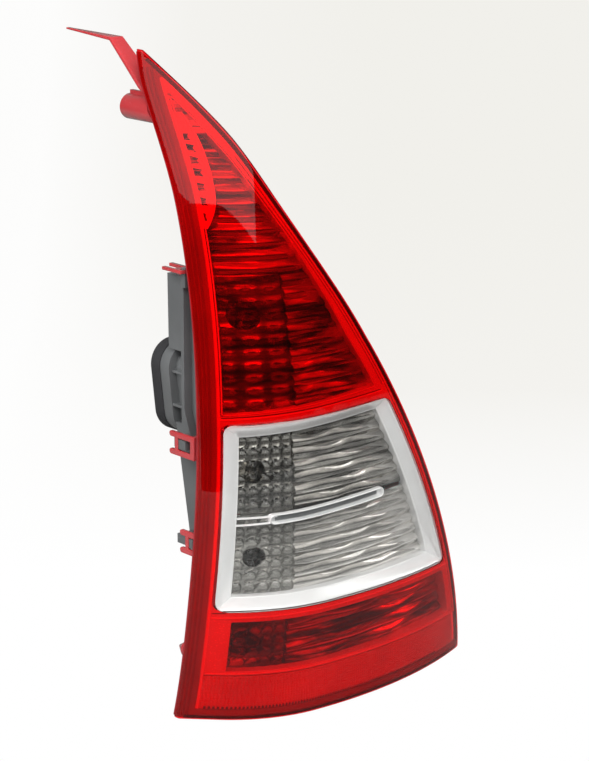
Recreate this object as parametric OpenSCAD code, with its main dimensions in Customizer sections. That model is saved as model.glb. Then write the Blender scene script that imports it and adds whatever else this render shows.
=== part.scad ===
// Tail light cluster: red lens with a clear window, reflectors, bulbs,
// rear housing with its catches, and the bulb holder behind it.
// Millimetres. +Z up, the lens faces -Y, +X is the outboard side.
// The origin is the shoulder of the mounting stud, where the body panel sits.

/* [Lens] */
// Height of the lens
lens_height = 516; // [500:1:530]
// Thickness of the lens and of the clear window
lens_wall = 3; // [2:0.5:4]
// How far the lens's top lies behind its furthest point
side_sag = 87.5; // [80:0.5:92]
// Height at which the lens stands furthest out
bulge_height = 154; // [130:1:180]
// Radius of the bend towards the tailgate, seen from above
corner_radius = 122; // [115:1:130]
// Radius of the broad face, seen from above
face_radius = 423; // [400:1:460]
// Angle that the bend turns through, in degrees
corner_angle = 43; // [40:0.5:46]

/* [Window] */
// Width of red lens left of the window
window_left = 14; // [12:0.5:17]
// Width of red lens right of the window
window_right = 11; // [9:0.5:14]
// Lower edge of the bezel
window_bottom = 92.5; // [90:0.5:96]
// Upper edge of the bezel at its left end
window_top = 238; // [234:0.5:240]
// How much the upper edge rises to the right
window_rise = 5.5; // [3:0.5:7]
// Depth of the bezel's funnel
bezel_depth = 11; // [8:0.5:12]
// Width of the bezel's slope
bezel_slope = 14; // [11:0.5:16]

/* [Reflectors] */
// Distance between two flutes
flute_pitch = 9.5; // [8:0.5:12]
// Depth of one flute
flute_depth = 3; // [1.5:0.5:4]
// Thickness of the reflector sheets
sheet_wall = 1.6; // [1.2:0.2:2]
// Front radius of the bulb bowls
bowl_radius = 26; // [24:0.5:27]
// Depth of one pillow of the bulbs' optics
pillow_depth = 1.5; // [0.5:0.25:2]

/* [Housing] */
// Distance from the lens edge to the housing wall
housing_inset = 9.5; // [9:0.5:11]
// Wall of the rear housing
housing_wall = 2.5; // [2:0.5:3]
// Width of a catch, across its two rungs
catch_width = 18.5; // [17:0.5:20]
// Length of the upper arm's flat end
arm_reach = 60; // [40:1:80]
// Outer radius of the screw boss
boss_radius = 10; // [8:0.5:11]
// Radius of the screw hole in the boss
boss_hole_radius = 2.2; // [1.5:0.1:3]

/* [Bulb holder] */
// Width of the bulb holder
holder_width = 50; // [46:1:56]
// Wall of the bulb holder
holder_wall = 2.5; // [2:0.25:3]
// Radius of a bulb's glass
glass_radius = 12.5; // [11:0.5:13]
// Length of a bulb's glass
glass_length = 28; // [24:1:30]
// Radius of a bulb's metal base
base_radius = 7.5; // [7:0.1:7.6]
// Height of the connector tower's opening
tower_height = 73; // [68:1:76]
// Thickness of the foam seal
seal_thickness = 12; // [8:1:14]

/* [Fixing] */
// Radius of the mounting stud's thread
stud_radius = 3; // [2.5:0.5:4]
// Length of the stud behind its shoulder
stud_length = 26; // [20:1:32]

/* [Hidden] */
// Plan of the lens: a straight flank, the bend and the broad face. The flank and
// the face keep their places, and the bend's centre follows its radius.
face_front = 80;
bend_y = corner_radius - face_front;
bend_x = -30 + (corner_radius - 122) * tan(corner_angle / 2);
// Radius of the lens seen from the side
side_radius = (pow(lens_height - bulge_height, 2) + side_sag * side_sag) / (2 * side_sag);
flank_reach = 95;
face_angle = 34;
fine = 240;
round_fn = 72;
// Origin in the drawing coordinates, which start at the lens's lower edge
stud_x = 20;
back_y = 8;
stud_flange = 3;
stud_z = 175;
origin = [stud_x, back_y + stud_flange, stud_z];
// The tables below give heights for a lens of 516. What lies above 250 moves with
// the lens's height.
function up(z) = z < 250 ? z : 250 + (z - 250) * (lens_height - 250) / (516 - 250);
over_top = up(546);
// Edges of the lens seen from behind: height, then x
left_edge = [for (e = [[0, -127], [104, -125.2], [220, -119.4], [401, -108.3],
                       [487, -106.9], [516, -102], [546, -97]])
    [up(e[0]), e[1]]];
right_arc = [-1367.3, -544.9, 1622];
right_low = 292;
right_steps = 8;
right_top = [[395, -40.9], [466, -74.7], [516, -102], [546, -118]];
right_edge = concat(
    [for (i = [0:right_steps]) let (z = right_low * i / right_steps)
        [up(z), right_arc[0] + sqrt(pow(right_arc[2], 2) - pow(z - right_arc[1], 2))]],
    [for (e = right_top) [up(e[0]), e[1]]]);
slant = 1.1;
// Back of the housing on the bulb holder's side: height, then y
back_edge = [for (e = [[0, -1], [60, -15.5], [105, -17], [148, -20], [204, -20],
                       [250, -17], [300, -9.5], [345, -1], [360, 1], [400, 14],
                       [450, 38.5], [487, 58], [516, 74], [546, 90]])
    [up(e[0]), e[1]]];
deep_from_x = -40;
deep_top = up(350);
housing_solid_from = up(452);
// Arm: outer side, width, thickness, and the bend as (y, z)
arm_x = -105;
arm_width = 19;
arm_thick = 2.6;
arm_root = [57, up(481.5)];
arm_bend = [98, lens_height + 1];
boss_pos = [-95, up(467)];
boss_end = 85;
peg_pos = [-108, 50.5];
peg_radius = 6.5;
peg_collar = 8;
peg_seat = -10.5;
peg_length = 8.5;
peg_tip = 7.7;
// Layers behind the lens surface
gap = 0.3;
layer = lens_wall + gap;
frame_depth = layer;
frame_wall = 2;
wall_ledge = 5;
housing_front = 6.8;
sheet_front = 12;
window_sheet_front = layer + bezel_depth + 2 + gap;
optic_wall = 2;
bowl_gap = 1.5;
shelf_z = 165.3;
shelf_wall = 1.6;
shelf_ends = [-86, 49];
shelf_back = -32;
divider_x = -21;
divider_length = 106;
divider_width = 7.5;
divider_thick = 4;
divider_tilt = 2.4;
groove_depth = 1.4;
// Zones
lower_bottom = 40;
lower_top = 84;
reflex_bottom = 9;
reflex_top = 37.5;
upper_bottom = window_top + 10;
upper_top = up(472);
upper_sheet_top = up(447);
strip = 11.5;
zone_right = 13;
// Bulbs: x, z, height of the holder behind each
stop_pos = [-76, up(318)];
stop_optic_top = stop_pos[1] + bowl_radius + 3;
indicator_pos = [-77, 199];
reverse_pos = [-77, 131];
fog_pos = [-84, 62];
base_seat = 3;
base_length = 15;
glass_wall = 0.8;
cup_radius = base_radius + 3.5;
bulb_clearance = 0.3;
bulb_hole = glass_radius + 2;
// Bulb holder
holder_x = -102;
holder_low = 108;
holder_top = up(345);
gasket = 2;
holder_knots = [holder_low, 148, 204, 250, up(300), holder_top];
holder_back = [[holder_low, -5], [122, -2.6], [147.3, 2.4], [202.5, 13.3], [235, 19.8],
               [up(290), 27.3], [holder_top, 28.2]];
box_front = [[-14.7, holder_low], [-14, 190], [-8, 203], [7.2, 240], [7.2, holder_top]];
neck_inset = 7;
tower_x = -84;
tower_z = 252.5;
tower_tilt = 6;
tower_r = 19;
tower_wall = 6.5;
tower_rim = [23.5, 35];
tower_floor = 13;
rib_thick = 2;
rib_heights = [tower_z - 11, tower_z + 15.5];
rib_foot = 11;
side_opening = 57;
// Catches: height of the middle between the rungs, then the rungs' back end
catch_thick = 2.6;
rung = 4.5;
hook_front = 1.7;
fork_x = -110;
fork_root = 12;
prong = 3.5;
prong_gap = 9;
prong_ends = [24, 32];
middle_catch_pos = [-117.2, 6.5, 218];
lower_catch_pos = [-120.5, -10.7, 143.3];
rung_fn = 24;
// Contact strips, second stud and breather
strip_width = 3;
strip_short = 5;
second_stud = [60, -115];
vent_pos = [10, 110];

function side(z) = sqrt(side_radius * side_radius - pow(z - bulge_height, 2)) - side_radius;
function left_x(z) = lookup(z, left_edge);
function right_x(z) = lookup(z, right_edge);
function rear(z) = lookup(z, back_edge);

// y of the surface that lies d behind the lens's outer face
function skin_y(x, z, d) =
    let (a = corner_radius + side(z) - d,
         b = face_radius + side(z) - d,
         edge = bend_x - a * sin(corner_angle))
    x < edge ? bend_y - a * cos(corner_angle) - (x - edge) * tan(corner_angle)
    : x < bend_x ? bend_y - sqrt(a * a - pow(x - bend_x, 2))
    : face_radius - face_front - sqrt(b * b - pow(x - bend_x, 2));

// Corners of a zone: insets from the left and right edges, then heights at
// lower left, lower right, upper left and upper right
function zone(inl, inr, bl, br, tl, tr) =
    let (mid = (br + tr) / 2)
    [[left_x(bl) + inl, bl], [right_x(br) - slant * inr, br],
     [right_x(mid) - slant * inr, mid], [right_x(tr) - slant * inr, tr],
     [left_x(tl) + inl, tl]];

// A closed line with each corner softened and each side split into steps
function blend(a, b, t) = a * (1 - t) + b * t;
function softened(p, steps, cut) =
    let (n = len(p))
    [for (i = [0:n - 1])
        let (a = p[i], b = p[(i + 1) % n], c = p[(i + n - 1) % n],
             k = min(0.45, cut / norm(b - a)), kc = min(0.45, cut / norm(a - c)))
        each concat(
            [blend(blend(a, c, kc), blend(a, b, k), 0.5) * 0.5 + a * 0.5],
            [for (s = [0:steps]) blend(a, b, k + (1 - 2 * k) * s / steps)])];

window_edge = zone(window_left, window_right, window_bottom, window_bottom + 1,
                   window_top, window_top + window_rise);
window_mouth = zone(window_left - 1, window_right - 1, window_bottom - 1, window_bottom,
                    window_top + 1, window_top + window_rise + 1);
bezel_throat = zone(window_left + bezel_slope + 2, window_right + bezel_slope - 5,
                    window_bottom + 9, window_bottom + 9, window_top - 11,
                    window_top + window_rise - 10);

module placed() {
    translate([-origin[0], -origin[1], -origin[2]]) children();
}

// Lens outline seen along Y, inset from the left, right and bottom edges
function lean(z) = min(1.165, 1.07 + 0.0003 * z);
module face(inl = 0, inr = 0, low = 0) {
    intersection() {
        polygon(concat([for (e = left_edge) [e[1] + inl, e[0] - 1]],
                       [[300, over_top - 1], [300, -1]]));
        polygon(concat([[-300, low], [-300, over_top]],
                       [for (i = [len(right_edge) - 1:-1:0])
                           let (e = right_edge[i])
                           [e[1] - lean(e[0]) * inr, max(low, e[0])]]));
    }
}

// Runs a drawing in y along Y, from y0 to y1
module along_y(y0 = -200, y1 = 250) {
    translate([0, y1, 0]) rotate([90, 0, 0]) linear_extrude(height = y1 - y0) children();
}

// Runs a drawing of (y, z) along X, from x0 to x1
module along_x(x0, x1) {
    translate([x0, 0, 0]) rotate([90, 0, 90]) linear_extrude(height = x1 - x0) children();
}

// Side profile between two depths behind the lens surface
module side_band(d0, d1) {
    intersection() {
        translate([1, -10]) square([corner_radius + 80, lens_height + 20]);
        difference() {
            translate([corner_radius - d0 - side_radius, bulge_height])
                circle(r = side_radius, $fn = 720);
            translate([corner_radius - d1 - side_radius, bulge_height])
                circle(r = side_radius, $fn = 720);
        }
    }
}

// Sweeps a side profile along the lens's plan: flank, bend and broad face
module flank_sweep() {
    translate([bend_x, bend_y, 0]) rotate([0, 0, 270 - corner_angle])
        rotate([90, 0, 0]) linear_extrude(height = flank_reach) children();
}

module bend_sweep() {
    translate([bend_x, bend_y, 0]) rotate([0, 0, 270 - corner_angle])
        rotate_extrude(angle = corner_angle, $fn = fine) children();
}

module face_sweep() {
    translate([bend_x, face_radius - face_front, 0]) rotate([0, 0, 270])
        rotate_extrude(angle = face_angle, $fn = fine)
            translate([face_radius - corner_radius, 0]) children();
}

module swept() {
    flank_sweep() children();
    bend_sweep() children();
    face_sweep() children();
}

module skin(d0, d1) {
    swept() side_band(d0, d1);
}

module red_lens() {
    color([0.75, 0.02, 0.04]) placed() intersection() {
        skin(0, lens_wall);
        along_y() difference() {
            face();
            polygon(softened(window_mouth, 1, 6));
        }
    }
}

module clear_window() {
    color([0.9, 0.9, 0.92, 0.4]) placed() intersection() {
        skin(0, lens_wall);
        along_y() polygon(softened(zone(window_left - 0.9, window_right - 0.9,
            window_bottom - 0.9, window_bottom + 0.1, window_top + 0.9,
            window_top + window_rise + 0.9), 1, 6));
    }
}

// Funnel between the window's edge and the throat, as one thin closed ring
module chrome_bezel() {
    steps = 8;
    outer = softened(window_edge, steps, 7);
    inner = softened(bezel_throat, steps, 5);
    n = len(outer);
    points = [for (ring = [0:3]) for (i = [0:n - 1])
        let (p = ring == 0 || ring == 3 ? outer[i] : inner[i],
             d = layer + [0, bezel_depth, bezel_depth + 2, 2][ring])
        [p[0], skin_y(p[0], p[1], d), p[1]]];
    color([0.9, 0.9, 0.92]) placed() polyhedron(points, [for (ring = [0:3]) for (i = [0:n - 1])
        let (a = ring * n + i, b = ring * n + (i + 1) % n,
             c = ((ring + 1) % 4) * n + (i + 1) % n, e = ((ring + 1) % 4) * n + i)
        each [[a, c, b], [a, e, c]]]);
}

module pill(length, width) {
    translate([-length / 2, -width / 2]) square([length, width]);
    for (s = [-1, 1]) translate([s * length / 2, 0]) circle(d = width, $fn = round_fn);
}

// Bar across the window, with a groove along its front
module divider_trim() {
    depth = layer + bezel_depth - 2;
    color([0.88, 0.88, 0.9]) placed() difference() {
        intersection() {
            skin(depth, depth + divider_thick);
            along_y() translate([divider_x, shelf_z - 1.1]) rotate(divider_tilt)
                pill(divider_length, divider_width);
        }
        intersection() {
            skin(depth - 1, depth + groove_depth);
            along_y() translate([divider_x + 3, shelf_z - 1]) rotate(divider_tilt)
                pill(divider_length - 12, divider_width - 4.5);
        }
    }
}

module reflex_panel() {
    color([0.8, 0.05, 0.06]) placed() intersection() {
        skin(layer, layer + 3);
        along_y() intersection() {
            face(strip + 1, 9, reflex_bottom);
            translate([-300, 0]) square([600, reflex_top]);
        }
    }
}

// Bright panel behind the red lens, open at the upper zone, window, lower zone
module reflector_frame() {
    color([0.85, 0.3, 0.3]) placed() {
        difference() {
            intersection() {
                skin(frame_depth, frame_depth + frame_wall);
                along_y() intersection() {
                    face(strip, 3, 0);
                    translate([-300, reflex_top + 0.5]) square([600, lens_height]);
                }
            }
            along_y() upper_zone();
            along_y() lower_zone();
            along_y() polygon(softened(window_mouth, 1, 6));
        }
    }
}

module upper_zone(grow = 0) {
    intersection() {
        face(strip + 4 - grow, zone_right - grow, 0);
        polygon([[-300, upper_bottom - 3 - grow], [300, upper_bottom + 9 - grow],
                 [300, upper_top + grow], [-300, upper_top + grow]]);
    }
}

module lower_zone(grow = 0) {
    intersection() {
        face(strip + 4 - grow, zone_right - grow, 0);
        translate([-300, lower_bottom + 2 - grow])
            square([600, lower_top - lower_bottom - 4 + 2 * grow]);
    }
}

// x where a bulb's optic ends and the fluted sheet beside it begins
function optic_end(pos) = pos[0] + bowl_radius + 3;

// A fluted sheet, beside the bulb's optic and, above that, from the zone's left edge
module fluted_sheet(z0, rows, inl, inr, pos, high, depth) {
    cols = 14;
    n = (rows + 1) * (cols + 1);
    points = [for (back = [0, 1]) for (i = [0:rows]) for (j = [0:cols])
        let (z = z0 + i * flute_pitch / 4,
             left = z < high ? optic_end(pos) + gap : left_x(z) + inl,
             x = blend(left, right_x(z) - slant * inr, j / cols),
             d = depth + flute_depth * (1 - abs(sin(45 * i))))
        [x, skin_y(x, z, d) + back * sheet_wall, z]];
    faces = [for (i = [0:rows - 1]) for (j = [0:cols - 1])
        let (a = i * (cols + 1) + j, b = a + 1, c = b + cols + 1, e = a + cols + 1)
        each [[a, e, b], [b, e, c], [a + n, b + n, e + n], [b + n, c + n, e + n]]];
    low_high = [for (j = [0:cols - 1])
        let (a = j, b = j + 1, c = rows * (cols + 1) + j, e = c + 1)
        each [[a, b, a + n], [b, b + n, a + n], [c, c + n, e], [e, c + n, e + n]]];
    sides = [for (i = [0:rows - 1])
        let (a = i * (cols + 1), b = a + cols + 1, c = a + cols, e = b + cols)
        each [[a, a + n, b], [b, a + n, b + n], [c, e, c + n], [e, e + n, c + n]]];
    polyhedron(points, concat(faces, low_high, sides));
}

// Clear plate in front of a bulb. Its front is made of pillows.
module optic(z0, z1, inl, pos, depth) {
    cols = 10;
    rows = 2 * round((z1 - z0) / flute_pitch);
    n = (rows + 1) * (cols + 1);
    points = [for (back = [0, 1]) for (i = [0:rows]) for (j = [0:cols])
        let (z = blend(z0, z1, i / rows), x = blend(left_x(z) + inl, optic_end(pos), j / cols),
             raised = back == 0 && i % 2 == 1 && j % 2 == 1 ? pillow_depth : 0)
        [x, skin_y(x, z, depth + pillow_depth - raised) + back * optic_wall, z]];
    quads = [for (i = [0:rows - 1]) for (j = [0:cols - 1])
        let (a = i * (cols + 1) + j, b = a + 1, c = b + cols + 1, e = a + cols + 1)
        each (i + j) % 2 == 0
            ? [[a, e, c], [a, c, b], [a + n, b + n, c + n], [a + n, c + n, e + n]]
            : [[a, e, b], [b, e, c], [a + n, b + n, e + n], [b + n, c + n, e + n]]];
    low_high = [for (j = [0:cols - 1])
        let (a = j, b = j + 1, c = rows * (cols + 1) + j, e = c + 1)
        each [[a, b, a + n], [b, b + n, a + n], [c, c + n, e], [e, c + n, e + n]]];
    sides = [for (i = [0:rows - 1])
        let (a = i * (cols + 1), b = a + cols + 1, c = a + cols, e = b + cols)
        each [[a, a + n, b], [b, a + n, b + n], [c, e, c + n], [e, e + n, c + n]]];
    polyhedron(points, concat(quads, low_high, sides));
}

// Quarter flutes that fit between two heights
function rows_between(z0, z1) = floor((z1 - z0) / flute_pitch * 4);

module upper_flutes() {
    z0 = upper_bottom + 4;
    color([0.6, 0.1, 0.12]) placed()
        fluted_sheet(z0, rows_between(z0, upper_sheet_top), strip + 5, zone_right + 1, stop_pos,
                     stop_optic_top + flute_pitch / 4, sheet_front);
}

module indicator_flutes() {
    z0 = shelf_z + shelf_wall / 2 + gap;
    color([0.8, 0.8, 0.82]) placed()
        fluted_sheet(z0, rows_between(z0, window_top - 7), 0, window_right + 7,
                     indicator_pos, lens_height, window_sheet_front);
}

module reverse_flutes() {
    z1 = shelf_z - shelf_wall / 2 - gap;
    rows = rows_between(window_bottom + 7, z1);
    color([0.8, 0.8, 0.82]) placed()
        fluted_sheet(z1 - rows * flute_pitch / 4, rows, 0, window_right + 7,
                     reverse_pos, lens_height, window_sheet_front);
}

module lower_flutes() {
    z0 = lower_bottom + 3;
    color([0.6, 0.1, 0.12]) placed()
        fluted_sheet(z0, rows_between(z0, lower_top - 3), 0, zone_right + 1, fog_pos,
                     lens_height, sheet_front);
}

module stop_optic() {
    color([0.9, 0.9, 0.92, 0.5]) placed()
        optic(upper_bottom + 4, stop_optic_top, strip + 5, stop_pos, sheet_front);
}

module indicator_optic() {
    color([0.9, 0.9, 0.92, 0.5]) placed()
        optic(shelf_z + shelf_wall / 2 + gap, window_top - 7, window_left + bezel_slope,
              indicator_pos, window_sheet_front);
}

module reverse_optic() {
    color([0.9, 0.9, 0.92, 0.5]) placed()
        optic(window_bottom + 7, shelf_z - shelf_wall / 2 - gap, window_left + bezel_slope,
              reverse_pos, window_sheet_front);
}

module fog_optic() {
    color([0.9, 0.9, 0.92, 0.5]) placed()
        optic(lower_bottom + 3, lower_top - 3, strip + 5, fog_pos, sheet_front);
}

// Walls that carry the two red zones' sheets behind the bright panel
module upper_wall() {
    color([0.7, 0.2, 0.22]) placed() intersection() {
        skin(frame_depth + frame_wall + gap, sheet_front - gap);
        along_y() difference() {
            intersection() {
                upper_zone();
                translate([-300, 0]) square([600, housing_solid_from - 4]);
            }
            upper_zone(-wall_ledge);
        }
    }
}

module lower_wall() {
    color([0.7, 0.2, 0.22]) placed() intersection() {
        skin(frame_depth + frame_wall + gap, sheet_front - gap);
        along_y() difference() {
            lower_zone();
            lower_zone(-wall_ledge);
        }
    }
}

// Bowl round a bulb: a thin cone from the housing's back wall to the sheets
module bowl(pos, r, depth) {
    small = bulb_hole + 0.5;
    y0 = rear(pos[1]) + 3;
    difference() {
        translate([pos[0], y0, pos[1]]) rotate([90, 0, 0])
            rotate_extrude($fn = round_fn)
                polygon([[small - 1.5, 0], [small, 0], [small, 6], [r, 48],
                    [r - 1.5, 48], [small - 1.5, 6]]);
        skin(-60, depth + pillow_depth + optic_wall + bowl_gap);
        behind_back(housing_wall + gap);
    }
}

module stop_bowl() {
    color([0.8, 0.8, 0.82]) placed() bowl(stop_pos, bowl_radius, sheet_front);
}

module indicator_bowl() {
    color([0.8, 0.8, 0.82]) placed()
        bowl(indicator_pos, bowl_radius, window_sheet_front);
}

module reverse_bowl() {
    color([0.8, 0.8, 0.82]) placed()
        bowl(reverse_pos, bowl_radius, window_sheet_front);
}

module fog_bowl() {
    color([0.8, 0.8, 0.82]) placed() bowl(fog_pos, 20.5, sheet_front);
}

// Shelf between the two chambers of the window, behind the divider
module chamber_partition() {
    steps = 15;
    front = [for (i = [0:steps]) let (x = blend(shelf_ends[0], shelf_ends[1], i / steps))
        [x, skin_y(x, shelf_z, window_sheet_front + flute_depth)]];
    color([0.75, 0.75, 0.77]) placed() translate([0, 0, shelf_z - shelf_wall / 2])
        linear_extrude(height = shelf_wall) polygon(concat(front,
            [[shelf_ends[1], shelf_back], [shelf_ends[0], shelf_back]]));
}

// What lies behind the housing's back: the bulb holder's side steps forward
module behind_back(shift = 0) {
    line = [for (e = back_edge) [e[1] - shift, e[0]]];
    deep = back_y - shift;
    step = deep_top - shift;
    along_x(-250, deep_from_x + shift) polygon(concat([[200, -20], [line[0][0], -20]],
        line, [[200, over_top]]));
    along_x(deep_from_x + shift, 250) polygon(concat([[200, -20], [deep, -20],
        [deep, step], [rear(step) - shift, step]],
        [for (e = line) if (e[1] > step) e], [[200, over_top]]));
}

module housing_prism(wall = 0, top = lens_height) {
    difference() {
        along_y(-150, 120) intersection() {
            face(housing_inset + wall, 6 + wall, 5 + wall);
            translate([-300, 0]) square([600, top]);
        }
        behind_back(wall);
    }
}

module housing_shell() {
    difference() {
        housing_prism();
        housing_prism(housing_wall, housing_solid_from);
        for (p = [stop_pos, indicator_pos, reverse_pos, fog_pos])
            along_y(rear(p[1]) - 20, rear(p[1]) + 20) translate(p)
                circle(r = bulb_hole, $fn = round_fn);
    }
}

// Shell behind the lens, with a hole for each bulb in its back
module rear_housing() {
    color([0.78, 0.25, 0.28]) placed() {
        intersection() {
            housing_shell();
            flank_sweep() side_band(housing_front, corner_radius);
        }
        intersection() {
            housing_shell();
            bend_sweep() side_band(housing_front, corner_radius);
        }
        intersection() {
            housing_shell();
            face_sweep() side_band(housing_front, corner_radius);
        }
    }
}

// Keeps only what lies behind or beside the housing
module off_housing() {
    difference() {
        children();
        along_y(-150, 120) intersection() {
            face(housing_inset, 6, 5);
            translate([-300, 0]) square([600, lens_height]);
        }
    }
}

module behind_housing() {
    intersection() {
        children();
        behind_back(0);
    }
}

// Bent arm at the top that hooks behind the body's pillar
module mounting_arm() {
    end = arm_bend[0] + arm_reach;
    x1 = arm_x + arm_width;
    color([0.82, 0.3, 0.33]) placed() behind_housing() intersection() {
        along_x(arm_x, x1) polygon([arm_root, arm_bend, [end, arm_bend[1] + 3.6],
            [end, arm_bend[1] + 5], [arm_bend[0] - 1, arm_bend[1] + arm_thick],
            [arm_root[0] - 6, arm_root[1] - 1]]);
        translate([0, 0, arm_root[1] - 10]) linear_extrude(height = 100)
            polygon([[arm_x + 5, 40], [x1, 40], [x1 - 7, arm_bend[0]], [arm_x + 3, end],
                [arm_x, end], [arm_x, 60]]);
    }
}

// Screw boss under the arm, with a rib along its top
module screw_boss() {
    color([0.8, 0.27, 0.3]) placed() behind_housing() difference() {
        union() {
            along_y(30, boss_end) translate(boss_pos) circle(r = boss_radius, $fn = round_fn);
            along_y(30, boss_end - 2) translate([boss_pos[0] - 1.5, boss_pos[1]])
                square([3, boss_radius + 3]);
        }
        along_y(boss_end - 24, boss_end + 1) translate(boss_pos)
            circle(r = boss_hole_radius, $fn = round_fn);
    }
}

// Catch standing beside the housing: two rungs, a cross bar and a root.
// pos is its outer side, the rungs' back end and the middle height.
module side_catch(pos, window) {
    half = catch_width / 2;
    z = pos[2];
    back = pos[1];
    bar = back - 7;
    plate = bar - 4 - window;
    root = 5;
    along_x(pos[0], pos[0] + catch_thick) {
        for (s = [-1, 1]) {
            translate([plate - root, z + s * (half - rung / 2) - rung / 2])
                square([back - plate + root - rung / 2, rung]);
            translate([back - rung / 2, z + s * (half - rung / 2)])
                circle(d = rung, $fn = rung_fn);
        }
        translate([bar - 4, z - half + 1]) square([4, catch_width - 2]);
        translate([plate - root, z - half]) square([root, catch_width]);
    }
    translate([pos[0], plate - root, z - half]) cube([10, root, catch_width]);
}

module middle_catch() {
    color([0.8, 0.27, 0.3]) placed() off_housing() side_catch(middle_catch_pos, 16);
}

module lower_catch() {
    color([0.8, 0.27, 0.3]) placed() off_housing() side_catch(lower_catch_pos, 7);
}

// The holder's arm that reaches round into a catch's window
module side_latch(pos, reach, low) {
    inner = pos[0] + catch_thick + gap;
    bar = pos[1] - 11;
    high = catch_width - 2 * rung - 2;
    translate([0, 0, pos[2] - high / 2]) {
        translate([inner, low, 0]) cube([holder_x - inner, 5, high]);
        translate([inner, bar - reach, 0]) cube([2.6, low + 5 - bar + reach, high]);
        translate([pos[0] + 0.4, bar - reach, 0]) cube([inner - pos[0], reach - gap, high]);
    }
}

module holder_latches() {
    color([0.2, 0.2, 0.21]) placed() {
        side_latch(middle_catch_pos, 9, -1);
        side_latch(lower_catch_pos, 5, -8.5);
        // Hook at the top
        translate([holder_x - 2.5, hook_front, holder_top - 8])
            cube([5, box_front[4][0] - hook_front, deep_top - holder_top + 6.6]);
        translate([holder_x - 2.5, hook_front, holder_top - 8])
            cube([5, 4.6, deep_top - holder_top + 10.5]);
    }
}

// Flat catch over the holder's top, with two prongs
module top_catch() {
    z = deep_top - 1;
    color([0.8, 0.27, 0.3]) placed() behind_housing() translate([0, 0, z])
        linear_extrude(height = catch_thick) difference() {
            translate([fork_x, 0]) polygon([[0, -30], [0, prong_ends[0]],
                [prong, prong_ends[0]], [prong, fork_root], [prong + prong_gap, fork_root],
                [prong + prong_gap, prong_ends[1]], [2 * prong + prong_gap, prong_ends[1]],
                [2 * prong + prong_gap, -30]]);
            translate([fork_x + 4, hook_front - 0.7]) square([8, 6]);
        }
}

// Pointed peg that finds its hole in the body
module locating_peg() {
    color([0.8, 0.22, 0.26]) placed() behind_housing()
        translate([peg_pos[0], peg_seat, peg_pos[1]]) rotate([-90, 0, 0])
            rotate_extrude($fn = round_fn)
                polygon([[0, -20], [peg_collar, -20], [peg_collar, 0], [peg_radius, 0],
                    [peg_radius, peg_length], [1, peg_tip - peg_seat],
                    [0, peg_tip - peg_seat]]);
}

module holder_outline(front, back) {
    polygon(concat([for (e = front) e],
        [for (i = [len(back) - 1:-1:0]) [back[i][1], back[i][0]]]));
}

function holder_front(shift) = [for (z = holder_knots) [rear(z) + shift, z]];

module stadium(r) {
    rotate(tower_tilt) {
        translate([-r, -tower_height / 2 + tower_r])
            square([2 * r, tower_height - 2 * tower_r]);
        for (s = [-1, 1]) translate([0, s * (tower_height / 2 - tower_r)])
            circle(r = r, $fn = round_fn);
    }
}

// Bulb holder: a tray open to the back, with a cup behind each bulb
module holder_pocket(x0, x1, floor) {
    intersection() {
        along_x(x0, x1) polygon(concat(floor, [[90, holder_top], [90, holder_low]]));
        along_y() translate([-200, holder_low + holder_wall])
            square([300, holder_top - holder_low - 2 * holder_wall]);
    }
}

module bulb_holder() {
    x1 = holder_x + holder_width;
    color([0.16, 0.16, 0.17]) placed() difference() {
        union() {
            difference() {
                union() {
                    along_x(holder_x + neck_inset, x1)
                        holder_outline(holder_front(gasket), holder_back);
                    along_x(holder_x, x1) holder_outline(box_front, holder_back);
                }
                holder_pocket(holder_x + neck_inset + holder_wall, x1 - holder_wall,
                              holder_front(gasket + 3));
                holder_pocket(holder_x + holder_wall, x1 - holder_wall,
                              [for (e = box_front) [e[0] + 3, e[1]]]);
                // Opening in the side wall, beside the connector tower
                translate([holder_x - 1, rib_foot, tower_z - side_opening / 2 + 5])
                    cube([20, 40, side_opening]);
            }
            for (p = [stop_pos, indicator_pos, reverse_pos])
                along_y(rear(p[1]) + gasket + 1, rear(p[1]) + base_seat + base_length + 2)
                    translate(p) circle(r = cup_radius, $fn = round_fn);
        }
        for (p = [stop_pos, indicator_pos, reverse_pos])
            along_y(rear(p[1]) - 10, rear(p[1]) + base_seat + base_length + bulb_clearance)
                translate(p) circle(r = base_radius + bulb_clearance, $fn = round_fn);
    }
}

// Connector tower on the holder's back, with ribs beside it
module connector_tower() {
    line = holder_front(gasket + 3);
    ledge_x = holder_x + neck_inset + holder_wall + gap;
    color([0.2, 0.2, 0.21]) placed() difference() {
        union() {
            intersection() {
                along_y(-30, tower_rim[1]) translate([tower_x, tower_z])
                    stadium(tower_r - tower_wall);
                union() {
                    along_x(ledge_x, 0) polygon(concat(line, [[90, 400], [90, 50]]));
                    translate([-150, box_front[3][0] + 3.2, 0]) cube([150, 90, 400]);
                }
            }
            along_y(tower_rim[0], tower_rim[1]) translate([tower_x, tower_z])
                stadium(tower_r);
            for (z = rib_heights)
                translate([holder_x + 0.5, rib_foot, z - rib_thick / 2])
                    cube([tower_x - holder_x - 4, tower_rim[0] - rib_foot, rib_thick]);
        }
        along_y(tower_floor, tower_rim[1] + 1) translate([tower_x, tower_z])
            stadium(tower_r - tower_wall - 2.5);
    }
}

module tower_seal() {
    color([0.1, 0.1, 0.1]) placed() difference() {
        along_y(tower_rim[1], tower_rim[1] + seal_thickness) translate([tower_x, tower_z])
            stadium(tower_r + 0.8);
        along_y(tower_rim[1] - 1, tower_rim[1] + seal_thickness + 1)
            translate([tower_x, tower_z]) stadium(tower_r - 8);
    }
}

// Blades of the connector, standing on the tower's floor
module connector_pins() {
    color([0.75, 0.72, 0.6]) placed() for (i = [-2.5:1:2.5])
        translate([tower_x - 0.4, tower_floor, tower_z + i * 7 - 1.4])
            cube([0.8, 14, 2.8]);
}

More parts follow.
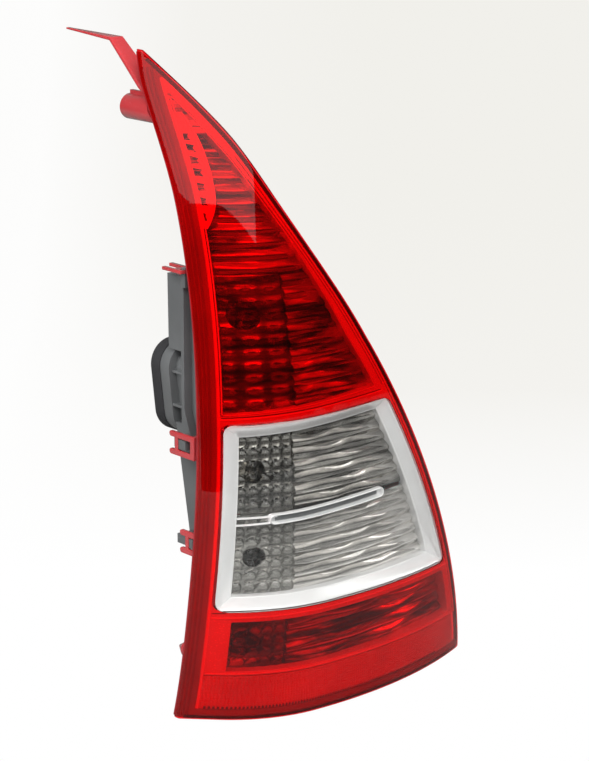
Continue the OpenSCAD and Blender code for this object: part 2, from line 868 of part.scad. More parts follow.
module holder_gasket() {
    x0 = holder_x + neck_inset + 1;
    x1 = holder_x + holder_width - 1;
    color([0.08, 0.08, 0.08]) placed() difference() {
        along_x(x0, x1) holder_outline(holder_front(0),
            [for (z = holder_knots) [z, rear(z) + gasket]]);
        along_y() translate([x0 + 4, holder_low + 4])
            square([x1 - x0 - 8, holder_top - holder_low - 8]);
    }
}

// Round socket of the lowest bulb, turned into the housing's back
module fog_socket() {
    rim = bulb_hole + 3;
    y = max(rear(fog_pos[1] - rim), rear(fog_pos[1] + rim));
    color([0.16, 0.16, 0.17]) placed() translate([fog_pos[0], y + gap, fog_pos[1]])
        rotate([-90, 0, 0]) rotate_extrude($fn = round_fn)
            polygon([[base_radius + bulb_clearance, 0], [rim, 0],
                [rim, 2.5], [cup_radius, 4], [cup_radius, 18], [0, 18],
                [0, 15.5], [base_radius + bulb_clearance, 15.5]]);
}

// A bulb in three pieces, with its axis along Y
module bulb_at(pos) {
    translate([pos[0], rear(pos[1]) + base_seat, pos[1]]) rotate([90, 0, 0]) children();
}

module bulb_base() {
    translate([0, 0, -base_length]) difference() {
        union() {
            rotate_extrude($fn = round_fn) polygon([[0, 0], [2.2, 0], [2.2, 1.2],
                [base_radius, 2.4], [base_radius, base_length], [0, base_length]]);
        }
        translate([0, 0, base_length - 4]) cylinder(r = 5.4, h = 5, $fn = round_fn);
    }
}

module bulb_glass() {
    r = glass_radius;
    w = glass_wall;
    neck = 6.6;
    translate([0, 0, 0.2]) rotate_extrude($fn = round_fn) difference() {
        intersection() {
            union() {
                square([neck, glass_length - r]);
                translate([0, glass_length - r]) circle(r = r, $fn = round_fn);
            }
            square([r + 1, glass_length + 1]);
        }
        intersection() {
            union() {
                translate([0, w]) square([neck - w, glass_length - r]);
                translate([0, glass_length - r]) circle(r = r - w, $fn = round_fn);
            }
            translate([0, w]) square([r + 1, glass_length + 1]);
        }
    }
}

module bulb_filament() {
    translate([0, 0, 1.2]) for (s = [-1, 1])
        translate([s * 3, 0, 0]) cylinder(r = 0.4, h = glass_length - glass_radius - 1.2,
                                          $fn = 16);
    translate([-3.4, 0, glass_length - glass_radius]) rotate([0, 90, 0])
        cylinder(r = 0.6, h = 6.8, $fn = 16);
}

// Contact strips on the floor of the holder
module contact_strip(x) {
    line = [for (i = [0:5])
        holder_knots[i] + (i == 0 ? strip_short : i == 5 ? -strip_short : 0)];
    along_x(x, x + strip_width) polygon(concat(
        [for (z = line) [rear(z) + gasket + 3.2, z]],
        [for (i = [5:-1:0]) [rear(line[i]) + gasket + 4, line[i]]]));
}

// Threaded stud with its shoulder flange
module stud(x, z) {
    translate([x, back_y, z]) rotate([-90, 0, 0]) {
        cylinder(r = 9, h = stud_flange, $fn = round_fn);
        cylinder(r = stud_radius, h = stud_flange + stud_length, $fn = round_fn);
    }
}

module vent_cap() {
    color([0.12, 0.12, 0.12]) placed() translate([vent_pos[0], back_y, vent_pos[1]])
        rotate([-90, 0, 0]) rotate_extrude($fn = round_fn) polygon([[0, 0], [5, 0], [5, 2], [9, 2], [9, 6],
            [7, 7], [0, 7]]);
}

module stop_bulb_glass() {
    color([0.95, 0.95, 0.97, 0.4]) placed() bulb_at(stop_pos) bulb_glass();
}

module stop_bulb_base() {
    color([0.75, 0.72, 0.6]) placed() bulb_at(stop_pos) bulb_base();
}

module stop_bulb_filament() {
    color([0.5, 0.5, 0.5]) placed() bulb_at(stop_pos) bulb_filament();
}

module indicator_bulb_glass() {
    color([0.95, 0.55, 0.1, 0.6]) placed() bulb_at(indicator_pos) bulb_glass();
}

module indicator_bulb_base() {
    color([0.75, 0.72, 0.6]) placed() bulb_at(indicator_pos) bulb_base();
}

module indicator_bulb_filament() {
    color([0.5, 0.5, 0.5]) placed() bulb_at(indicator_pos) bulb_filament();
}

module reverse_bulb_glass() {
    color([0.95, 0.95, 0.97, 0.4]) placed() bulb_at(reverse_pos) bulb_glass();
}

module reverse_bulb_base() {
    color([0.75, 0.72, 0.6]) placed() bulb_at(reverse_pos) bulb_base();
}

module reverse_bulb_filament() {
    color([0.5, 0.5, 0.5]) placed() bulb_at(reverse_pos) bulb_filament();
}

module fog_bulb_glass() {
    color([0.95, 0.95, 0.97, 0.4]) placed() bulb_at(fog_pos) bulb_glass();
}

module fog_bulb_base() {
    color([0.75, 0.72, 0.6]) placed() bulb_at(fog_pos) bulb_base();
}

module fog_bulb_filament() {
    color([0.5, 0.5, 0.5]) placed() bulb_at(fog_pos) bulb_filament();
}

module ground_strip() {
    color([0.8, 0.65, 0.3]) placed() contact_strip(holder_x + holder_width - 11);
}

module feed_strip() {
    color([0.8, 0.65, 0.3]) placed() contact_strip(holder_x + holder_width - 6.5);
}

module main_stud() {
    color([0.7, 0.7, 0.72]) placed() stud(stud_x, stud_z);
}

module lower_stud() {
    color([0.7, 0.7, 0.72]) placed()
        stud(stud_x + second_stud[0], stud_z + second_stud[1]);
}

red_lens();
clear_window();
chrome_bezel();
divider_trim();
reflex_panel();
reflector_frame();
upper_flutes();
indicator_flutes();
reverse_flutes();
lower_flutes();
stop_optic();
indicator_optic();
reverse_optic();
fog_optic();
stop_bowl();
indicator_bowl();
reverse_bowl();
fog_bowl();
chamber_partition();
upper_wall();
lower_wall();
rear_housing();
mounting_arm();
screw_boss();
top_catch();
middle_catch();
lower_catch();
locating_peg();
bulb_holder();
holder_latches();
connector_tower();
tower_seal();
connector_pins();
holder_gasket();
fog_socket();
stop_bulb_glass();
stop_bulb_base();
stop_bulb_filament();
indicator_bulb_glass();
indicator_bulb_base();
indicator_bulb_filament();
reverse_bulb_glass();
reverse_bulb_base();
reverse_bulb_filament();
fog_bulb_glass();
fog_bulb_base();
fog_bulb_filament();
ground_strip();
feed_strip();
main_stud();
lower_stud();
vent_cap();
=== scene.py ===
import math

import bmesh
import bpy
from mathutils import Matrix, Vector
from mathutils.bvhtree import BVHTree
from mathutils.geometry import delaunay_2d_cdt


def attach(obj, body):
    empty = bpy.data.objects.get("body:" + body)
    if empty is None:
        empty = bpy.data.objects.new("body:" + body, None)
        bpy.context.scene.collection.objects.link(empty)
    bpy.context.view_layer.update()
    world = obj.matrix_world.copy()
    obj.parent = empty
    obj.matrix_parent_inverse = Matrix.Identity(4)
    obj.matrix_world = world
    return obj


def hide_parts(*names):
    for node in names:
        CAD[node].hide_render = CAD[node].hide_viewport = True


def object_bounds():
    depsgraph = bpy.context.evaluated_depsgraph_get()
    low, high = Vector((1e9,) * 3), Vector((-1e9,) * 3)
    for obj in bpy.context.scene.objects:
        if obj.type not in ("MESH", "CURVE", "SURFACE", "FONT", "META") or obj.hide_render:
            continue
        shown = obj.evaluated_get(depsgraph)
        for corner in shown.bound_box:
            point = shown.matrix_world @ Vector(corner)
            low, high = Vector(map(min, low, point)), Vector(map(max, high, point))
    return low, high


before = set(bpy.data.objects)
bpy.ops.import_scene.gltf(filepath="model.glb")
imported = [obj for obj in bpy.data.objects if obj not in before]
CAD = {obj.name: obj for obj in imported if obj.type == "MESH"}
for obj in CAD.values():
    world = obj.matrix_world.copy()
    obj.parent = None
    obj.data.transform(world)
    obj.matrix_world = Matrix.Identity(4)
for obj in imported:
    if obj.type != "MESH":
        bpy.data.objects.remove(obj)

cad_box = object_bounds()

# ---------------------------------------------------------------- the lens's shape
# Drawing millimetres: z from the lens's lower edge, the lens faces -y. The row's
# origin is the main stud's shoulder.
ORIGIN = Vector((20, 11, 175))
CORNER_R, FACE_R = 122, 423          # radii of the lens's plan: left corner and face
SIDE_R, BULGE_Z = 792, 154           # radius of its side profile and height of the bulge
BEND_X, BEND_Y, FRONT = -30, 42, 80  # where corner and face join, and how far the face stands
TURN = math.radians(43)              # how far round the corner goes
# (z, x) of the left and right edges, and the arc of the right edge's lower part
LEFT = ((0, -127), (104, -125.2), (220, -119.4), (401, -108.3), (487, -106.9), (516, -102))
RIGHT = ((292, 21.9), (395, -40.9), (466, -74.7), (516, -102))
ARC_X, ARC_Z, ARC_R = -1367.3, -544.9, 1622
ARC_POINT = (189, 72.9)              # a point of the arc, for the slope where RIGHT starts
TOP = 516
LEAN = 1.1                           # x for each mm of inset from the slanted right edge


def at(x, y, z):
    """A drawing point in the frame's metres."""
    return (Vector((x, y, z)) - ORIGIN) * 0.001


def eased(table, z):
    """Smooth line through a table's points."""
    n = len(table)
    i = max(0, min(n - 2, sum(z > t[0] for t in table) - 1))
    (z0, a), (z1, b) = table[i], table[i + 1]

    def slope(k):
        lo, hi = table[max(0, k - 1)], table[min(n - 1, k + 1)]
        return (hi[1] - lo[1]) / (hi[0] - lo[0])

    t, w = (z - z0) / (z1 - z0), z1 - z0
    return ((1 + 2 * t) * (1 - t) ** 2 * a + t * (1 - t) ** 2 * w * slope(i)
            + t * t * (3 - 2 * t) * b + t * t * (t - 1) * w * slope(i + 1))


def left_x(z):
    return eased(LEFT, z)


def right_x(z):
    if z < RIGHT[0][0]:
        return ARC_X + math.sqrt(ARC_R ** 2 - (z - ARC_Z) ** 2)
    return eased((ARC_POINT,) + RIGHT, z)


def side(z):
    """How far the side profile falls back from the bulge, as a negative number."""
    return math.sqrt(SIDE_R ** 2 - (z - BULGE_Z) ** 2) - SIDE_R


def skin_y(x, z, d):
    """y of the surface that lies d behind the lens's outer face."""
    a, b = CORNER_R + side(z) - d, FACE_R + side(z) - d
    edge = BEND_X - a * math.sin(TURN)
    if x < edge:
        return BEND_Y - a * math.cos(TURN) - (x - edge) * math.tan(TURN)
    if x < BEND_X:
        return BEND_Y - math.sqrt(a * a - (x - BEND_X) ** 2)
    return FACE_R - FRONT - math.sqrt(b * b - (x - BEND_X) ** 2)


def on_skin(x, z, d):
    return at(x, skin_y(x, z, d), z)


def mix(a, b, t):
    return a + (b - a) * t


def mix2(a, b, t):
    return (mix(a[0], b[0], t), mix(a[1], b[1], t))


# ---------------------------------------------------------------- loops of (x, z)
def rounded(sides, radii, n=24, m=6):
    """Closed line along sides, each a function of 0 to 1, with its corners rounded.
    radii[i] is the corner's at the start of side i."""
    loop, k = [], len(sides)
    for i, line in enumerate(sides):
        length = math.dist(line(0), line(1))
        t0, t1 = radii[i] / length, 1 - radii[(i + 1) % k] / length
        loop += [line(mix(t0, t1, j / (n - 1))) for j in range(n)]
        after = sides[(i + 1) % k]
        a, c = loop[-1], after(0)
        b = after(radii[(i + 1) % k] / math.dist(after(0), after(1)))
        loop += [mix2(mix2(a, c, j / (m + 1)), mix2(c, b, j / (m + 1)), j / (m + 1))
                 for j in range(1, m + 1)]
    return loop


def window_loop(inl, inr, low, high, radii=(9, 8, 6, 6), n=24, m=6):
    """The window's outline at insets from the lens's two edges. low and high are the
    heights at the left and right ends."""
    lo_l, lo_r = (left_x(low[0]) + inl, low[0]), (right_x(low[1]) - LEAN * inr, low[1])
    hi_l, hi_r = (left_x(high[0]) + inl, high[0]), (right_x(high[1]) - LEAN * inr, high[1])

    def right(t):
        z = mix(low[1], high[1], t)
        return (right_x(z) - LEAN * inr, z)

    def left(t):
        z = mix(high[0], low[0], t)
        return (left_x(z) + inl, z)

    return rounded([lambda t: mix2(lo_l, lo_r, t), right, lambda t: mix2(hi_r, hi_l, t), left],
                   radii, n, m)


def lens_loop(inl=0, inr=0, low=0, top=TOP, radii=(2, 3, 1.2), n=90, m=4):
    """The lens's outline, inset from its left, right and lower edges. It ends in a point
    where the two sides meet."""
    def gap(z):
        return (right_x(z) - LEAN * inr) - (left_x(z) + inl)
    hi = top
    if gap(top) < 1.5:
        a, b = 300, top
        for _ in range(40):
            c = (a + b) / 2
            a, b = (c, b) if gap(c) > 1.5 else (a, c)
        hi = a

    def right(t):
        z = mix(low, hi, t)
        return (right_x(z) - LEAN * inr, z)

    def left(t):
        z = mix(hi, low, t)
        return (left_x(z) + inl, z)

    lo_l, lo_r = left(1), right(0)
    if gap(hi) > 3:
        hi_l, hi_r = left(0), right(1)
        return rounded([lambda t: mix2(lo_l, lo_r, t), right,
                        lambda t: mix2(hi_r, hi_l, t), left], radii + (radii[-1],), n, m)
    return rounded([lambda t: mix2(lo_l, lo_r, t), right, left], radii, n, m)


def inset(loop, dist):
    """Moves a closed line to its left by dist."""
    if not dist:
        return list(loop)
    out, k = [], len(loop)
    for i, (x, z) in enumerate(loop):
        (ax, az), (bx, bz) = loop[i - 1], loop[(i + 1) % k]
        u, v = Vector((x - ax, z - az)), Vector((bx - x, bz - z))
        if u.length < 1e-6 or v.length < 1e-6:
            u = v = Vector((bx - ax, bz - az))
        u.normalize(), v.normalize()
        t = (u + v).normalized()
        c = max(0.4, math.sqrt(max(0, (1 + u.dot(v)) / 2)))
        out.append((x - t.y * dist / c, z + t.x * dist / c))
    return out


def inside(loops, x, z):
    """Whether a point lies in the outline and in none of its holes."""
    hit = False
    for loop in loops:
        for i, (bx, bz) in enumerate(loop):
            ax, az = loop[i - 1]
            if (az > z) != (bz > z) and x < (bx - ax) * (z - az) / (bz - az) + ax:
                hit = not hit
    return hit


# ---------------------------------------------------------------- pieces
def piece(name, verts, faces, material, stands_for=(), sharp=38):
    """A mesh object that rides on the one body. sharp is the smallest angle of a sharp
    edge, in degrees."""
    mesh = bpy.data.meshes.new(name)
    mesh.from_pydata(verts, [], faces)
    bm = bmesh.new()
    bm.from_mesh(mesh)
    bmesh.ops.remove_doubles(bm, verts=bm.verts, dist=1e-7)
    bmesh.ops.recalc_face_normals(bm, faces=bm.faces)
    bm.to_mesh(mesh)
    bm.free()
    mesh.shade_smooth()
    mesh.set_sharp_from_angle(angle=math.radians(sharp))
    obj = bpy.data.objects.new(name, mesh)
    bpy.context.scene.collection.objects.link(obj)
    mesh.materials.append(material)
    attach(obj, "root")
    if stands_for:
        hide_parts(*stands_for)
    return obj


def skin_sheet(name, outer, holes, d0, d1, material, stands_for=(), step=5, edge=0.5):
    """A sheet that follows the lens's surface from depth d0 to d1, with its front edges
    rounded. outer runs anticlockwise; holes are turned round here."""
    loops = [outer] + [list(reversed(h)) for h in holes]
    inner = [inset(loop, edge) for loop in loops]
    flat, lines = [], []
    for loop in inner:
        n = len(flat)
        flat += [Vector(p) for p in loop]
        lines += [(n + i, n + (i + 1) % len(loop)) for i in range(len(loop))]
    xs, zs = [p.x for p in flat], [p.y for p in flat]
    cells = {}
    for p in flat:
        cells.setdefault((int(p.x // step), int(p.y // step)), []).append(p)

    def clear(x, z):
        i, j = int(x // step), int(z // step)
        return all((p.x - x) ** 2 + (p.y - z) ** 2 > (0.55 * step) ** 2
                   for a in (-1, 0, 1) for b in (-1, 0, 1)
                   for p in cells.get((i + a, j + b), ()))

    row = 0
    z = min(zs) + step / 2
    while z < max(zs):
        x = min(xs) + (row % 2) * step / 2
        while x < max(xs):
            if inside(inner, x, z) and clear(x, z):
                flat.append(Vector((x, z)))
            x += step
        z += step * 0.866
        row += 1
    points, _, tris, origin, _, _ = delaunay_2d_cdt(flat, lines, [], 0, 1e-5)
    tris = [t for t in tris
            if inside(inner, *(sum((points[i][k] for i in t), 0.0) / 3 for k in (0, 1)))]
    found = {o: i for i, olds in enumerate(origin) for o in olds}
    verts = [on_skin(p.x, p.y, d0) for p in points] + [on_skin(p.x, p.y, d1) for p in points]
    n = len(points)
    faces = [tuple(t) for t in tris] + [tuple(n + i for i in reversed(t)) for t in tris]
    start = 0
    for loop in loops:
        k = len(loop)
        ring = [found[start + i] for i in range(k)]
        back = [n + i for i in ring]
        for s in (1, 2, 3):
            t = math.radians(30 * s)
            base = len(verts)
            verts += [on_skin(x, z, d0 + edge * (1 - math.cos(t)))
                      for x, z in inset(loop, edge * (1 - math.sin(t)))]
            new = list(range(base, base + k))
            faces += [(ring[i], new[i], new[(i + 1) % k], ring[(i + 1) % k]) for i in range(k)]
            ring = new
        base = len(verts)
        verts += [on_skin(x, z, d1) for x, z in loop]
        new = list(range(base, base + k))
        faces += [(ring[i], new[i], new[(i + 1) % k], ring[(i + 1) % k]) for i in range(k)]
        faces += [(new[i], back[i], back[(i + 1) % k], new[(i + 1) % k]) for i in range(k)]
        start += k
    return piece(name, verts, faces, material, stands_for)


def stacked(name, rings, material, stands_for=(), close=True, cap=False, sharp=38):
    """Joins rings of points, each with the same number, into one surface."""
    k = len(rings[0])
    verts = [p for ring in rings for p in ring]
    last = len(rings) if close else len(rings) - 1
    faces = [(r * k + i, r * k + (i + 1) % k, ((r + 1) % len(rings)) * k + (i + 1) % k,
              ((r + 1) % len(rings)) * k + i) for r in range(last) for i in range(k)]
    if cap:
        faces += [tuple(range(k)), tuple((len(rings) - 1) * k + i for i in range(k))]
    return piece(name, verts, faces, material, stands_for, sharp)


def grid_plate(name, us, vs, front, back, material, stands_for=(), sharp=38):
    """A plate with a modelled front: front(i, j) and back(i, j) give points."""
    nu, nv = us + 1, vs + 1
    verts = [front(i, j) for j in range(nv) for i in range(nu)]
    verts += [back(i, j) for j in range(nv) for i in range(nu)]
    n = nu * nv
    faces = []
    for j in range(vs):
        for i in range(us):
            a = j * nu + i
            faces += [(a, a + 1, a + nu + 1, a + nu),
                      (n + a, n + a + nu, n + a + nu + 1, n + a + 1)]
    for i in range(us):
        a, b = i, vs * nu + i
        faces += [(a, n + a, n + a + 1, a + 1), (b, b + 1, n + b + 1, n + b)]
    for j in range(vs):
        a, b = j * nu, j * nu + us
        faces += [(a, a + nu, n + a + nu, n + a), (b, n + b, n + b + nu, b + nu)]
    return piece(name, verts, faces, material, stands_for, sharp)


# Half-rounded section of a ridge, as shares of its half width and height
SECTION = ((-1, 0), (-0.75, 0.7), (0, 1), (0.75, 0.7), (1, 0), (0.9, -0.4), (-0.9, -0.4))


def ridges(name, paths, material, width=1.2, height=0.6, depth=4.1):
    """Thin rounded ridges on the surface at a depth, along open lines of (x, z)."""
    verts, faces, m = [], [], len(SECTION)
    for path in paths:
        base, k = len(verts), len(path)
        for i, (x, z) in enumerate(path):
            a, b = path[max(0, i - 1)], path[min(k - 1, i + 1)]
            t = Vector((b[0] - a[0], b[1] - a[1])).normalized()
            verts += [on_skin(x - t.y * u * width / 2, z + t.x * u * width / 2,
                              depth - h * height) for u, h in SECTION]
        for i in range(k - 1):
            a, b = base + i * m, base + (i + 1) * m
            faces += [(a + j, a + (j + 1) % m, b + (j + 1) % m, b + j) for j in range(m)]
        faces += [tuple(range(base, base + m)), tuple(range(base + (k - 1) * m, base + k * m))]
    return piece(name, verts, faces, material, sharp=50)


def line(a, b, n=40):
    """Evenly spaced points from a to b."""
    return [mix2(a, b, i / n) for i in range(n + 1)]


def beside_left(inl, z0, z1, n=80):
    """Points along the lens's left edge, inset by inl."""
    return [(left_x(mix(z0, z1, i / n)) + inl, mix(z0, z1, i / n)) for i in range(n + 1)]


def beside_right(inr, z0, z1, n=80):
    """Points along the lens's right edge, inset by inr."""
    return [(right_x(mix(z0, z1, i / n)) - LEAN * inr, mix(z0, z1, i / n))
            for i in range(n + 1)]


def across(inl, inr, z_left, z_right, n=60):
    """Points of a straight line from the left edge to the right edge."""
    return line((left_x(z_left) + inl, z_left), (right_x(z_right) - LEAN * inr, z_right), n)


def softened(node, material, width):
    """A copy of a CAD solid with its edges rounded over width, which stands for it."""
    source = CAD[node]
    bm = bmesh.new()
    bm.from_mesh(source.data)
    bmesh.ops.remove_doubles(bm, verts=bm.verts, dist=1e-6)
    bmesh.ops.dissolve_limit(bm, angle_limit=math.radians(0.6), verts=bm.verts, edges=bm.edges)
    sharp = [e for e in bm.edges
             if len(e.link_faces) == 2 and e.calc_face_angle(0) > math.radians(28)]
    bmesh.ops.bevel(bm, geom=sharp, offset=width * 0.001, segments=2, profile=0.6,
                    affect="EDGES", clamp_overlap=True)
    bmesh.ops.triangulate(bm, faces=[f for f in bm.faces if len(f.verts) > 4])
    mesh = bpy.data.meshes.new(node + "_rounded")
    bm.to_mesh(mesh)
    bm.free()
    mesh.shade_smooth()
    mesh.set_sharp_from_angle(angle=math.radians(35))
    mesh.materials.append(material)
    obj = bpy.data.objects.new(node + "_rounded", mesh)
    bpy.context.scene.collection.objects.link(obj)
    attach(obj, "root")
    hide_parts(node)
    return obj


def paint(node, material):
    """Gives a CAD node its material and leaves its mesh alone."""
    for s in CAD[node].material_slots:
        s.material = material


# ---------------------------------------------------------------- materials
def new_material(name):
    m = bpy.data.materials.new(name)
    m.use_nodes = True
    nt = m.node_tree
    return m, nt, nt.nodes["Principled BSDF"], nt.nodes["Material Output"]


def coords(nt):
    return nt.nodes.new("ShaderNodeTexCoord").outputs["Object"]


def stretched(nt, scale):
    node = nt.nodes.new("ShaderNodeMapping")
    nt.links.new(coords(nt), node.inputs["Vector"])
    node.inputs["Scale"].default_value = scale
    return node.outputs["Vector"]


def noise(nt, vector, scale, detail=3.0, rough=0.5, twist=0.0):
    node = nt.nodes.new("ShaderNodeTexNoise")
    nt.links.new(vector, node.inputs["Vector"])
    node.inputs["Scale"].default_value = scale
    node.inputs["Detail"].default_value = detail
    node.inputs["Roughness"].default_value = rough
    node.inputs["Distortion"].default_value = twist
    return node.outputs["Fac"]


def ramp(nt, fac, stops):
    node = nt.nodes.new("ShaderNodeValToRGB")
    nt.links.new(fac, node.inputs["Fac"])
    e = node.color_ramp.elements
    while len(e) < len(stops):
        e.new(0.5)
    for s, (pos, col) in zip(e, stops):
        s.position = pos
        s.color = tuple(col) + (1,)
    return node.outputs["Color"]


def grey_range(nt, fac, lo, hi, out_lo, out_hi):
    node = nt.nodes.new("ShaderNodeMapRange")
    nt.links.new(fac, node.inputs["Value"])
    for k, v in (("From Min", lo), ("From Max", hi), ("To Min", out_lo), ("To Max", out_hi)):
        node.inputs[k].default_value = v
    return node.outputs["Result"]


def bump(nt, fac, strength, distance, onto):
    node = nt.nodes.new("ShaderNodeBump")
    nt.links.new(fac, node.inputs["Height"])
    node.inputs["Strength"].default_value = strength
    node.inputs["Distance"].default_value = distance
    nt.links.new(node.outputs["Normal"], onto.inputs["Normal"])


def mix_shaders(nt, fac, a, b):
    node = nt.nodes.new("ShaderNodeMixShader")
    for k, v in enumerate((fac, a, b)):
        nt.links.new(v, node.inputs[k])
    return node.outputs[0]


GRAIN_DEPTH, WAVE_DEPTH = 0.0002, 0.0006  # metres, of the bump


def plastic(name, colour, rough, vary=0.12, grain=900, grain_strength=0.12, coat=0.0,
            metallic=0.0, subsurface=0.0):
    """Moulded plastic or plain metal with a fine grain and a slightly uneven colour."""
    m, nt, p, _ = new_material(name)
    v = coords(nt)
    tone = noise(nt, v, 28, 4)
    dark = tuple(c * (1 - vary) for c in colour)
    light = tuple(min(1, c * (1 + vary)) for c in colour)
    nt.links.new(ramp(nt, tone, ((0.3, dark), (0.7, light))), p.inputs["Base Color"])
    fine = noise(nt, v, grain, 2)
    nt.links.new(grey_range(nt, fine, 0.3, 0.7, rough * 0.85, rough * 1.15),
                 p.inputs["Roughness"])
    bump(nt, fine, grain_strength, GRAIN_DEPTH, p)
    p.inputs["Metallic"].default_value = metallic
    p.inputs["Coat Weight"].default_value = coat
    p.inputs["Coat Roughness"].default_value = 0.08
    if subsurface:
        p.inputs["Subsurface Weight"].default_value = subsurface
        p.inputs["Subsurface Radius"].default_value = (0.004, 0.001, 0.001)
    return m


def clear_plastic(name, colour, rough, ripple):
    """Moulded transparent plastic. Lamps reach what is behind it."""
    m, nt, p, out = new_material(name)
    v = coords(nt)
    wave = noise(nt, v, 14, 2)
    tint = tuple(c * 0.93 for c in colour)
    nt.links.new(ramp(nt, wave, ((0.3, tint), (0.7, colour))), p.inputs["Base Color"])
    p.inputs["Transmission Weight"].default_value = 1.0
    p.inputs["IOR"].default_value = 1.49
    p.inputs["Roughness"].default_value = rough
    bump(nt, wave, ripple, WAVE_DEPTH, p)
    path = nt.nodes.new("ShaderNodeLightPath")
    through = nt.nodes.new("ShaderNodeBsdfTransparent")
    through.inputs["Color"].default_value = tuple(math.sqrt(c) for c in colour) + (1,)
    nt.links.new(mix_shaders(nt, path.outputs["Is Shadow Ray"], p.outputs[0],
                             through.outputs[0]), out.inputs["Surface"])
    return m


def mirror(name, colour, rough, painted_reflection_spread, stretch, metallic, contrast, ripple=0.03):
    """Metallised plastic whose colour is darkened in noise patches stretched along its flutes:
    painted reflection, dark patches in place of the darker room they mirror. The argument after
    rough is the half width of the noise's ramp, and contrast how much darker its dark end is."""
    m, nt, p, _ = new_material(name)
    v = stretched(nt, stretch)
    tone = noise(nt, v, 1.0, 4, 0.55, 0.6)
    # Painted reflection: the noise's dark end darkens the metal's colour by contrast.
    dark = tuple(c * (1 - contrast) for c in colour)
    nt.links.new(ramp(nt, tone, ((0.5 - painted_reflection_spread, dark), (0.5 + painted_reflection_spread, colour))),
                 p.inputs["Base Color"])
    p.inputs["Metallic"].default_value = metallic
    fine = noise(nt, coords(nt), 160, 3)
    nt.links.new(grey_range(nt, fine, 0.3, 0.7, rough * 0.7, rough * 1.4),
                 p.inputs["Roughness"])
    bump(nt, tone, ripple, WAVE_DEPTH, p)
    return m


RED_CLEAR = clear_plastic("red_clear", (0.93, 0.012, 0.02), 0.02, 0.04)
WINDOW_CLEAR = clear_plastic("window_clear", (0.97, 0.975, 0.97), 0.01, 0.03)
MAROON = plastic("weld_maroon", (0.27, 0.014, 0.02), 0.4, coat=0.3)
DEEP_RED = plastic("line_maroon", (0.12, 0.006, 0.01), 0.4)
RIM_DARK = plastic("rim_dark", (0.045, 0.003, 0.005), 0.4)
RIB_RED = plastic("rib_maroon", (0.19, 0.01, 0.014), 0.4)
TRIM_WHITE = plastic("trim_bright", (0.97, 0.94, 0.94), 0.18, vary=0.03, metallic=0.15)
FRAME_WHITE = plastic("frame_satin", (0.88, 0.84, 0.84), 0.25, vary=0.05, metallic=0.25)
REFLEX_RED = plastic("reflex_red", (0.62, 0.05, 0.06), 0.28, vary=0.1, coat=0.4)
# Mirrors with painted reflection: their colours darken in noise patches, strongly on the flutes
# and only slightly on the bezel.
ALONG_FLUTES = (15, 15, 85)
BRIGHT = mirror("flute_bright", (0.95, 0.94, 0.92), 0.09, 0.1, ALONG_FLUTES, 0.95, 0.88)
SILVER = mirror("flute_silver", (0.8, 0.78, 0.74), 0.07, 0.13, ALONG_FLUTES, 0.97, 0.7)
SILVER_LOW = mirror("flute_pale", (0.93, 0.91, 0.87), 0.07, 0.13, ALONG_FLUTES, 0.88, 0.5)
CHROME = mirror("bezel_chrome", (0.95, 0.95, 0.95), 0.16, 0.3, (30, 30, 30), 0.42, 0.02, 0.0)
OPTIC = clear_plastic("optic_clear", (0.95, 0.95, 0.94), 0.01, 0.05)
HOUSING = plastic("housing_red", (0.46, 0.042, 0.048), 0.24, vary=0.1, subsurface=0.2, coat=1.0)
BLACK = plastic("holder_black", (0.105, 0.109, 0.111), 0.34, grain=1400, grain_strength=0.3)
FOAM = plastic("foam", (0.028, 0.028, 0.03), 0.85, grain=2600, grain_strength=0.9)
BRASS = plastic("brass", (0.78, 0.55, 0.22), 0.25, metallic=1.0)
TIN = plastic("tin", (0.72, 0.7, 0.64), 0.3, metallic=1.0)
STEEL = plastic("zinc_steel", (0.66, 0.66, 0.68), 0.32, metallic=1.0)
BULB = clear_plastic("bulb_glass", (0.97, 0.97, 0.97), 0.0, 0.01)
COATED = plastic("bulb_silvered", (0.74, 0.7, 0.62), 0.12, vary=0.06, metallic=1.0)

# ---------------------------------------------------------------- camera
CAM_AZ, CAM_EL, CAM_FAR, CAM_LENS = math.radians(-38), math.radians(13.5), 2.2, 131.74
toward = Vector((math.sin(CAM_AZ) * math.cos(CAM_EL), -math.cos(CAM_AZ) * math.cos(CAM_EL),
                 math.sin(CAM_EL)))
cam = bpy.data.objects.new("camera", bpy.data.cameras.new("camera"))
cam.data.lens = CAM_LENS
cam.location = at(0, 0, 250) + toward * CAM_FAR
cam.rotation_mode = "QUATERNION"
cam.rotation_quaternion = (-toward).to_track_quat("-Z", "Y")
bpy.context.scene.collection.objects.link(cam)
bpy.context.scene.camera = cam

# ---------------------------------------------------------------- lens and window
# Depths behind the lens's outer face
LENS_BACK = 3
LAYER = 3.3          # first layer behind the lens
PANEL, BEAD = 4.1, 4.15
RED_SHEET = 12       # flutes and optics of the red zones
WINDOW_OPTIC, WINDOW_SHEET = 16.6, 17.2

MOUTH = (13, 10, (91.5, 92.5), (239, 244.5), (10, 9, 7, 7))
pane = window_loop(13.15, 10.15, (91.65, 92.65), (238.85, 244.35), (10, 9, 7, 7))
skin_sheet("lens_red", lens_loop(), [window_loop(*MOUTH)], 0, LENS_BACK, RED_CLEAR,
           ["red_lens"], step=4.5, edge=0.7)
skin_sheet("lens_window", pane, [], 0, LENS_BACK, WINDOW_CLEAR,
           ["clear_window"], step=5, edge=0.25)

